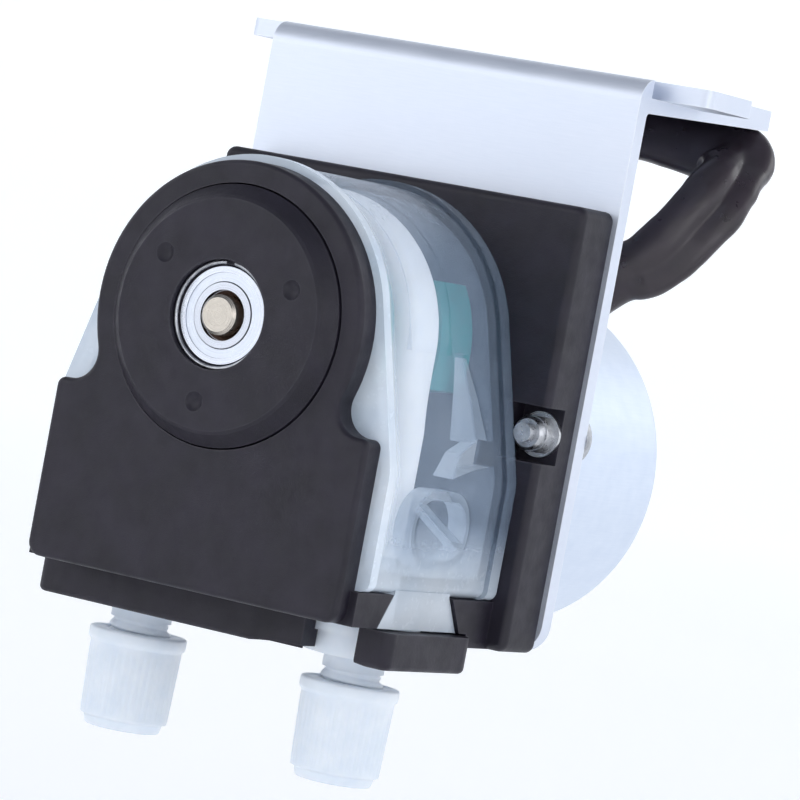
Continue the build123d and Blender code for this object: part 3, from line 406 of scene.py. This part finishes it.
def motor_metal():
    """Drawn nickel-plated cup: satin, with drawing lines along its length and light scuffs."""
    mat, tree, shader = principled("motor_metal", (0.80, 0.83, 0.88), 0.3, metallic=0.8)
    lines = grain(tree, 0.25 * MM, 4.0, (1, 0.05, 1))
    scuffs = grain(tree, 3 * MM, 5.0)
    tone = math_node(tree, "ADD", math_node(tree, "MULTIPLY", lines, 0.4),
                     math_node(tree, "MULTIPLY", scuffs, 0.6))
    body = between(tree, spread(tree, tone, 0.0, 1.0), (0.66, 0.74, 0.87), (0.74, 0.81, 0.92))
    tree.links.new(body, shader.inputs["Base Color"])
    tree.links.new(spread(tree, tone, 0.28, 0.38), shader.inputs["Roughness"])
    tree.links.new(bump(tree, lines, 0.002 * MM), shader.inputs["Normal"])
    return mat


def bronze():
    """Sintered bronze with open pores."""
    mat, tree, shader = principled("bronze", (0.45, 0.26, 0.12), 0.45, metallic=1.0)
    pores = spread(tree, grain(tree, 0.25 * MM, 3.0), 0.0, 1.0)
    tree.links.new(between(tree, pores, (0.27, 0.15, 0.07), (0.50, 0.31, 0.15)), shader.inputs["Base Color"])
    tree.links.new(spread(tree, pores, 0.36, 0.60, 0.0, 1.0), shader.inputs["Roughness"])
    tree.links.new(bump(tree, pores, 0.03 * MM), shader.inputs["Normal"])
    return mat


def magnet():
    """Sintered ferrite, dark and slightly grainy."""
    mat, tree, shader = principled("magnet", (0.05, 0.05, 0.055), 0.6, metallic=0.2)
    speck = spread(tree, grain(tree, 0.5 * MM, 4.0), 0.0, 1.0)
    ferrite = between(tree, speck, (0.035, 0.035, 0.04), (0.085, 0.085, 0.09))
    tree.links.new(ferrite, shader.inputs["Base Color"])
    tree.links.new(spread(tree, speck, 0.48, 0.68, 0.0, 1.0), shader.inputs["Roughness"])
    tree.links.new(bump(tree, speck, 0.02 * MM), shader.inputs["Normal"])
    return mat


def winding():
    """Enamelled copper wire wound round the motor's axis."""
    mat, tree, shader = principled("winding", (0.55, 0.20, 0.07), 0.3, metallic=0.85)
    wires = tree.nodes.new("ShaderNodeTexWave")
    wires.wave_type = "BANDS"
    wires.bands_direction = "Y"
    wires.inputs["Scale"].default_value = 1.0 / (4.2 * MM)
    wires.inputs["Distortion"].default_value = 0.4
    tree.links.new(coordinates(tree), wires.inputs["Vector"])
    tree.links.new(between(tree, wires.outputs["Fac"], (0.26, 0.08, 0.03), (0.66, 0.27, 0.10)),
                   shader.inputs["Base Color"])
    tree.links.new(spread(tree, grain(tree, 0.8 * MM), 0.24, 0.42), shader.inputs["Roughness"])
    tree.links.new(bump(tree, wires.outputs["Fac"], 0.06 * MM), shader.inputs["Normal"])
    return mat


def cable_sleeve_vinyl():
    """Glossy black vinyl with fine creases and a dusty bloom."""
    mat, tree, shader = principled("cable_sleeve_vinyl", (0.020, 0.016, 0.018), 0.34)
    bloom = spread(tree, grain(tree, 5 * MM, 5.0), 0.0, 1.0)
    vinyl = between(tree, bloom, (0.015, 0.009, 0.014), (0.026, 0.016, 0.025))
    tree.links.new(vinyl, shader.inputs["Base Color"])
    tree.links.new(spread(tree, grain(tree, 2.2 * MM, 4.0), 0.26, 0.44), shader.inputs["Roughness"])
    wrinkles = bump(tree, grain(tree, 2.4 * MM, 1.0), 0.10 * MM)
    tree.links.new(bump(tree, grain(tree, 0.35 * MM, 1.0), 0.004 * MM, wrinkles), shader.inputs["Normal"])
    shader.inputs["Coat Weight"].default_value = 0.25
    shader.inputs["Coat Roughness"].default_value = 0.22
    return mat


LOCK_NUT_AXIS = (29.4, 0, -9.5)     # the near lock nut and its washer, in mm from the datum


def make_materials():
    """Every material, by name, and the CAD nodes that wear it."""
    shaft_centre = DATUM
    screw_centre = at(*LOCK_NUT_AXIS)
    black = black_moulded()
    clear = clear_housing()
    natural = natural_plastic()
    teal = coloured_plastic("teal_plastic", (0.006, 0.25, 0.25), (0.012, 0.34, 0.33), 0.34, 0.48)
    gears = coloured_plastic("gear_plastic", (0.70, 0.69, 0.63), (0.80, 0.79, 0.74), 0.34, 0.46)
    rollers = coloured_plastic("roller_plastic", (0.78, 0.79, 0.76), (0.86, 0.87, 0.85), 0.30, 0.42)
    plug = coloured_plastic("plug_nylon", (0.74, 0.72, 0.64), (0.83, 0.81, 0.75), 0.38, 0.50)
    rubber = coloured_plastic("grommet_rubber", (0.018, 0.017, 0.018), (0.030, 0.029, 0.030), 0.55, 0.70)
    bright = turned_steel("bearing_steel", (0.56, 0.59, 0.66), (0.72, 0.75, 0.82), shaft_centre, 0.12, 0.24)
    shaft = turned_steel("shaft_steel", (0.46, 0.42, 0.37), (0.66, 0.61, 0.54), shaft_centre, 0.22, 0.36)
    shield = turned_steel("shield_steel", (0.58, 0.62, 0.70), (0.74, 0.78, 0.86), shaft_centre, 0.24, 0.38)
    washer = turned_steel("washer_steel", (0.50, 0.51, 0.53), (0.70, 0.71, 0.73), screw_centre, 0.22, 0.36)
    steel = plain_steel()
    worn = {
        black: ["front_cover", "bearing_cap", "fitting_retainer", "base_frame"],
        clear: ["pump_housing"],
        natural: ["inlet_ferrule", "outlet_ferrule"],
        teal: ["rotor_front_plate", "rotor_rear_carrier"],
        gears: ["output_gear", "idler_gear"],
        rollers: ["roller_1", "roller_2", "roller_3"],
        plug: ["cable_connector"],
        rubber: ["cable_grommet"],
        bright: ["bearing_outer_ring", "bearing_balls"],
        inner_ring_steel(): ["bearing_inner_ring"],
        shaft: ["shaft"],
        shield: ["bearing_shields", "bearing_cage"],
        washer: ["washers"],
        steel: ["bearing_snap_ring", "lock_nuts", "motor_screws", "roller_pins", "idler_axle",
                "motor_spindle", "motor_pinion", "gear_plate", "motor_front_plate"],
        sheet_metal(): ["bracket"],
        motor_metal(): ["motor_can"],
        bronze(): ["shaft_bush", "spindle_bush"],
        magnet(): ["motor_magnet"],
        winding(): ["stator_coil"],
        soft_tube(): ["pump_tube"],
    }
    for mat, names in worn.items():
        for name in names:
            paint(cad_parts[name], mat)
    return {"natural": natural, "sleeve": cable_sleeve_vinyl()}


def paint(obj, mat):
    """Gives a CAD node one material, without touching its mesh."""
    for slot in obj.material_slots:
        slot.link = "OBJECT"
        slot.material = mat


# ---- mesh helpers -------------------------------------------------------------------------------
def new_object(name, mesh_builder, mat):
    """Object made from a filled bmesh, shaded smooth."""
    mesh = bpy.data.meshes.new(name)
    mesh_builder.normal_update()
    mesh_builder.to_mesh(mesh)
    mesh_builder.free()
    for face in mesh.polygons:
        face.use_smooth = True
    mesh.materials.append(mat)
    obj = bpy.data.objects.new(name, mesh)
    bpy.context.scene.collection.objects.link(obj)
    return obj


def bridge_rings(build, rings, closed):
    """Quads between each ring of vertices and the next."""
    pairs = list(zip(rings, rings[1:]))
    if closed:
        pairs.append((rings[-1], rings[0]))
    for ring, following in pairs:
        count = len(ring)
        for i in range(count):
            j = (i + 1) % count
            build.faces.new((ring[i], ring[j], following[j], following[i]))


def turned_z(name, profile, centre, mat, segments, change=None):
    """Ring-shaped piece about a line along Z. profile is closed, of (radius, height) in metres, and
    change gives the radius at each angle where the surface isn't round."""
    build = bmesh.new()
    rings = []
    for radius, height in profile:
        ring = []
        for i in range(segments):
            angle = 2 * math.pi * i / segments
            here = change(radius, height, angle) if change else radius
            ring.append(build.verts.new((
                centre.x + here * math.cos(angle),
                centre.y + here * math.sin(angle),
                centre.z + height,
            )))
        rings.append(ring)
    bridge_rings(build, rings, closed=True)
    bmesh.ops.recalc_face_normals(build, faces=build.faces)
    return new_object(name, build, mat)


def sampled(points, step):
    """Same outline with points added so that none are further apart than step."""
    dense = []
    for (r0, z0), (r1, z1) in zip(points, points[1:]):
        pieces = max(1, math.ceil(math.hypot(r1 - r0, z1 - z0) / step))
        for k in range(pieces):
            dense.append((r0 + (r1 - r0) * k / pieces, z0 + (z1 - z0) * k / pieces))
    dense.append(points[-1])
    return dense


# ---- fittings -----------------------------------------------------------------------------------
THREAD_PITCH = 1.5 * MM
THREAD_CREST_R = 4.9 * MM
THREAD_ROOT_R = 4.15 * MM
THREAD_TOP = -48.7 * MM     # heights here are from the shaft's axis
THREAD_END = -60.2 * MM
NUT_RIBS = 40
NUT_RIB_DEPTH = 0.09 * MM


def port_centre(node):
    """Centre line of a fitting, at the shaft's height."""
    low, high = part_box(node)
    return Vector(((low.x + high.x) / 2, (low.y + high.y) / 2, DATUM.z))


def thread_radius(radius, height, angle):
    """Helical thread on the spigot, faded out at both ends; the rest of the fitting stays round."""
    if radius < THREAD_ROOT_R or not THREAD_END < height < THREAD_TOP:
        return radius
    turn = (height / THREAD_PITCH + angle / (2 * math.pi)) % 1.0
    ridge = min(1.0, max(0.0, 1.55 - 3.1 * abs(turn - 0.5)))
    fade = min(1.0, (THREAD_TOP - height) / THREAD_PITCH, (height - THREAD_END) / THREAD_PITCH)
    return THREAD_ROOT_R + (THREAD_CREST_R - THREAD_ROOT_R) * ridge * fade


def make_fitting(name, mat):
    """Barb, collar and neck as in the CAD, with a helical thread on the spigot."""
    body = [
        (2.45, -25.5), (2.6, -26.0), (3.15, -28.1), (2.6, -28.45), (2.5, -31.0), (3.4, -31.4),
        (3.4, -40.9), (8.75, -40.9), (8.88, -41.05), (8.88, -43.1), (8.0, -43.2), (8.0, -46.35),
        (7.85, -46.5), (4.9, -46.5), (4.7, -46.7), (4.7, -48.6), (4.2, -48.75),
    ]
    spigot = sampled([(4.2, -48.75), (4.2, -60.2)], 0.15)
    end = [(4.15, -60.3), (3.95, -60.6), (1.9, -60.6), (1.9, -25.5)]
    profile = [(r * MM, z * MM) for r, z in body + spigot[1:] + end]
    fitting = turned_z(name + "_threaded", profile, port_centre(name), mat, 96, thread_radius)
    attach(fitting, "root")
    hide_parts(name)


def make_nut(name, mat):
    """Cap nut with a rolled rim, fine grip ribs down its body and a stepped mouth."""
    low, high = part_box(name)
    centre = Vector(((low.x + high.x) / 2, (low.y + high.y) / 2, low.z))
    tall = (high.z - low.z) / MM
    rib_top = tall - 2.5
    rib_bottom = 1.8
    outside = [
        (4.95, tall), (7.15, tall), (7.42, tall - 0.12), (7.54, tall - 0.4), (7.54, tall - 1.5),
        (7.42, tall - 1.85), (7.12, tall - 2.15),
    ]
    body = sampled([(7.08, tall - 2.3), (6.72, rib_bottom - 0.1)], 0.35)
    mouth = [
        (6.62, 1.62), (6.2, 1.5), (6.05, 1.3), (5.85, 0.35), (5.6, 0.06), (5.35, 0.0), (3.4, 0.0),
        (3.16, 0.2), (3.16, 3.2), (3.8, 3.4), (4.55, 4.25), (4.55, 4.7), (4.95, 4.7),
    ]
    profile = [(r * MM, z * MM) for r, z in outside + body + mouth]

    def ribs(radius, height, angle):
        """Radius at a place on the nut, rippled where it lies on the ribbed outside."""
        if radius < 6.65 * MM or not rib_bottom * MM < height < rib_top * MM:
            return radius
        fade = min(1.0, (height - rib_bottom * MM) / (0.7 * MM), (rib_top * MM - height) / (0.7 * MM))
        return radius + NUT_RIB_DEPTH * fade * (abs(math.sin(NUT_RIBS * angle / 2)) - 0.5)

    nut = turned_z(name + "_ribbed", profile, centre, mat, NUT_RIBS * 8, ribs)
    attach(nut, name)
    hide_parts(name)


# ---- cable --------------------------------------------------------------------------------------
SLEEVE_R = 3.7 * MM
SLEEVE_ROUTE = [
    (17.96, 73.0, 10.25),
    (22.32, 73.0, 16.47),
    (28.6, 74.8, 19.2),
    (32.6, 77.6, 26.0),
    (34.8, 83.0, 34.0),
    (31.8, 91.2, 38.9),
    (22.0, 93.6, 39.4),
    (9.5, 88.6, 39.3),
    (-3.0, 83.5, 38.6),
    (-16.0, 76.5, 36.6),
    (-25.6, 71.6, 29.0),
    (-27.0, 70.0, 16.5),
]
# Along the sleeve, from 0 at the grommet to 1 at the plug: how wide and how thick the squashed tube
# is as shares of its radius, how deep the crease in its broad face is, and how far in degrees that
# face has turned up from facing the front.
SLEEVE_SQUASH = [
    (0.00, 1.00, 1.00, 0.00, 0),
    (0.06, 1.20, 0.86, 0.10, 0),
    (0.14, 1.46, 0.66, 0.42, 0),
    (0.24, 1.50, 0.66, 0.50, 0),
    (0.30, 1.36, 0.74, 0.44, 4),
    (0.35, 1.72, 0.80, 0.20, 14),
    (0.41, 1.66, 0.78, -0.10, 34),
    (0.50, 1.48, 0.72, -0.22, 50),
    (0.60, 1.34, 0.74, -0.16, 50),
    (0.75, 1.15, 0.85, 0.00, 30),
    (0.92, 1.05, 0.95, 0.00, 0),
    (1.00, 1.00, 1.00, 0.00, 0),
]
# The flange's underside, as (Y, Z) at its bend and at its back edge.
UNDERSIDE_FRONT = (54.8, 41.6)
UNDERSIDE_BACK = (97.0, 43.6)
CREASE_HALF_ANGLE = math.radians(24)
CREASE_OFFSET = 0.35        # radians round from the middle of the broad face
SLEEVE_SEGMENTS = 56
SLEEVE_FACES = Vector((0.42, -0.90, 0.05))      # the broad face looks out to the front


def spline_points(name, route):
    """Points along the smooth NURBS line through the route's control points."""
    curve = bpy.data.curves.new(name, "CURVE")
    curve.dimensions = "3D"
    curve.resolution_u = 32
    spline = curve.splines.new("NURBS")
    spline.points.add(len(route) - 1)
    for point, place in zip(spline.points, route):
        point.co = (*place, 1.0)
    spline.order_u = 3
    spline.use_endpoint_u = True
    line = bpy.data.objects.new(name, curve)
    mesh = bpy.data.meshes.new_from_object(line)
    points = [v.co.copy() for v in mesh.vertices]
    bpy.data.meshes.remove(mesh)
    bpy.data.objects.remove(line)
    bpy.data.curves.remove(curve)
    return points


def evenly_spaced(points, step):
    """Same line with its points a step apart."""
    lengths = [0.0]
    for before, here in zip(points, points[1:]):
        lengths.append(lengths[-1] + (here - before).length)
    count = max(2, round(lengths[-1] / step))
    spaced = []
    k = 0
    for i in range(count + 1):
        target = lengths[-1] * i / count
        while k < len(points) - 2 and lengths[k + 1] < target:
            k += 1
        run = lengths[k + 1] - lengths[k]
        share = (target - lengths[k]) / run if run else 0.0
        spaced.append(points[k].lerp(points[k + 1], min(1.0, share)))
    return spaced


def squash_at(share):
    """Width, thickness, crease and turn of the sleeve, eased between the listed stations."""
    for (s0, *before), (s1, *after) in zip(SLEEVE_SQUASH, SLEEVE_SQUASH[1:]):
        if share <= s1:
            t = (share - s0) / (s1 - s0)
            t = t * t * (3 - 2 * t)
            return [a + (b - a) * t for a, b in zip(before, after)]
    return list(SLEEVE_SQUASH[-1][1:])


def under_flange(place):
    """Same point, pressed down to stay just under the flange."""
    along = (place.y - at(0, UNDERSIDE_FRONT[0], 0).y) / ((UNDERSIDE_BACK[0] - UNDERSIDE_FRONT[0]) * MM)
    height = UNDERSIDE_FRONT[1] + (UNDERSIDE_BACK[1] - UNDERSIDE_FRONT[1]) * min(1.0, max(0.0, along))
    return Vector((place.x, place.y, min(place.z, at(0, 0, height - 0.05).z)))


def sleeve_ring(build, centre, along, share, segments):
    """One ring of the squashed, creased sleeve."""
    wide, thick, crease, turned = squash_at(share)
    facing = (SLEEVE_FACES - along * SLEEVE_FACES.dot(along)).normalized()
    facing = Matrix.Rotation(math.radians(turned), 3, along) @ facing
    across = along.cross(facing)
    calm = min(1.0, share / 0.05, (1 - share) / 0.05)
    ring = []
    for i in range(segments):
        angle = 2 * math.pi * i / segments
        out = across * (wide * math.sin(angle)) + facing * (thick * math.cos(angle))
        turn = (angle + math.pi) % (2 * math.pi) - math.pi
        dent = crease * math.exp(-((turn - CREASE_OFFSET) / CREASE_HALF_ANGLE) ** 2)
        place = centre + out * SLEEVE_R
        buckle = noise.noise(place * 200) * 0.07 + noise.noise(place * 420) * 0.02
        place = centre + out * SLEEVE_R * (1 - dent + calm * buckle)
        ring.append(build.verts.new(under_flange(place)))
    return ring


def make_sleeve(mat):
    """Soft sleeve that bends over under the flange, flattened and creased by its own bend."""
    route = [at(*point) for point in SLEEVE_ROUTE]
    points = spline_points("sleeve_line", route)
    stations = evenly_spaced(points, 0.5 * MM)
    build = bmesh.new()
    rings = []
    for i, centre in enumerate(stations):
        before = stations[max(0, i - 1)]
        after = stations[min(len(stations) - 1, i + 1)]
        along = (after - before).normalized()
        share = i / (len(stations) - 1)
        rings.append(sleeve_ring(build, centre, along, share, SLEEVE_SEGMENTS))
    bridge_rings(build, rings, closed=False)
    build.faces.new(rings[0])
    build.faces.new(rings[-1])
    bmesh.ops.recalc_face_normals(build, faces=build.faces)
    sleeve = new_object("creased_sleeve", build, mat)
    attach(sleeve, "root")
    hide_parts("cable_sleeve")


# ---- studio -------------------------------------------------------------------------------------
FLOOR_DROP = 30 * MM        # the pump hangs from its bracket, and its nuts need room to unscrew
FLOOR_FLAT_R = 1.7
FLOOR_CURVE_R = 0.7
FLOOR_SEGMENTS = 96
FLOOR_WALL = 1.2
FLOOR_GLOW = 0.30           # keeps the backdrop white all round


def make_floor():
    """Round white floor that curves up into a wall all the way round, so that no edge shows."""
    mat, tree, shader = principled("studio_white", (0.93, 0.94, 0.95), 0.7, specular=0.2)
    patches = spread(tree, grain(tree, 0.6, 2.0), 0.0, 1.0)
    tone = between(tree, patches, (0.92, 0.93, 0.945), (0.95, 0.955, 0.965))
    tree.links.new(tone, shader.inputs["Base Color"])
    shader.inputs["Emission Color"].default_value = (0.97, 0.985, 1.0, 1)
    shader.inputs["Emission Strength"].default_value = FLOOR_GLOW
    level = cad_box[0].z - FLOOR_DROP
    outline = [(0.02, 0.0), (FLOOR_FLAT_R / 2, 0.0), (FLOOR_FLAT_R, 0.0)]
    for step in range(1, 13):
        angle = math.pi / 2 * step / 12
        outline.append((
            FLOOR_FLAT_R + FLOOR_CURVE_R * math.sin(angle),
            FLOOR_CURVE_R * (1 - math.cos(angle)),
        ))
    outline.append((FLOOR_FLAT_R + FLOOR_CURVE_R, FLOOR_CURVE_R + FLOOR_WALL))
    build = bmesh.new()
    rings = []
    for radius, height in outline:
        rings.append([
            build.verts.new((
                radius * math.cos(2 * math.pi * i / FLOOR_SEGMENTS),
                radius * math.sin(2 * math.pi * i / FLOOR_SEGMENTS),
                level + height,
            ))
            for i in range(FLOOR_SEGMENTS)
        ])
    bridge_rings(build, rings, closed=False)
    build.faces.new(rings[0])
    bmesh.ops.recalc_face_normals(build, faces=build.faces)
    new_object("studio_floor", build, mat)


def area_light(name, place, target, size, power):
    """Round soft lamp at place that points at target."""
    data = bpy.data.lights.new(name, "AREA")
    data.shape = "DISK"
    data.size = size
    data.energy = power
    lamp = bpy.data.objects.new(name, data)
    bpy.context.scene.collection.objects.link(lamp)
    lamp.location = place
    lamp.rotation_mode = "QUATERNION"
    lamp.rotation_quaternion = (target - place).to_track_quat("-Z", "Y")


SKY_STRENGTH = 0.70
PUMP_MIDDLE = (5, 45, -10)          # in mm from the datum
LAMPS = (                           # name, place from the pump's middle in m, size in m, watts
    ("key", (-1.1, -1.2, 0.35), 1.1, 1.7),
    ("fill", (1.3, -0.7, 0.3), 0.9, 1.4),
    ("rim", (0.9, 1.0, 0.8), 0.7, 1.6),
)


def make_lights():
    """Soft sky that darkens overhead, with a broad key, a fill and a rim light."""
    world = bpy.data.worlds.new("studio")
    world.use_nodes = True
    background = world.node_tree.nodes["Background"]
    tree = world.node_tree
    source = tree.nodes.new("ShaderNodeTexCoord")
    parts = tree.nodes.new("ShaderNodeSeparateXYZ")
    tree.links.new(source.outputs["Generated"], parts.inputs[0])
    height = spread(tree, parts.outputs["Z"], 0.0, 1.0, 0.35, 0.95)
    sky = between(tree, height, (0.93, 0.96, 1.0), (0.40, 0.43, 0.50))
    tree.links.new(sky, background.inputs["Color"])
    background.inputs["Strength"].default_value = SKY_STRENGTH
    bpy.context.scene.world = world
    middle = at(*PUMP_MIDDLE)
    for name, offset, size, power in LAMPS:
        area_light(name, middle + Vector(offset), middle, size, power)
    bpy.context.scene.view_settings.view_transform = "Standard"


# ---- build --------------------------------------------------------------------------------------
make_camera()
materials = make_materials()
make_sleeve(materials["sleeve"])
for side_name in ("inlet", "outlet"):
    make_fitting(side_name + "_fitting", materials["natural"])
    make_nut(side_name + "_nut", materials["natural"])
make_floor()
make_lights()
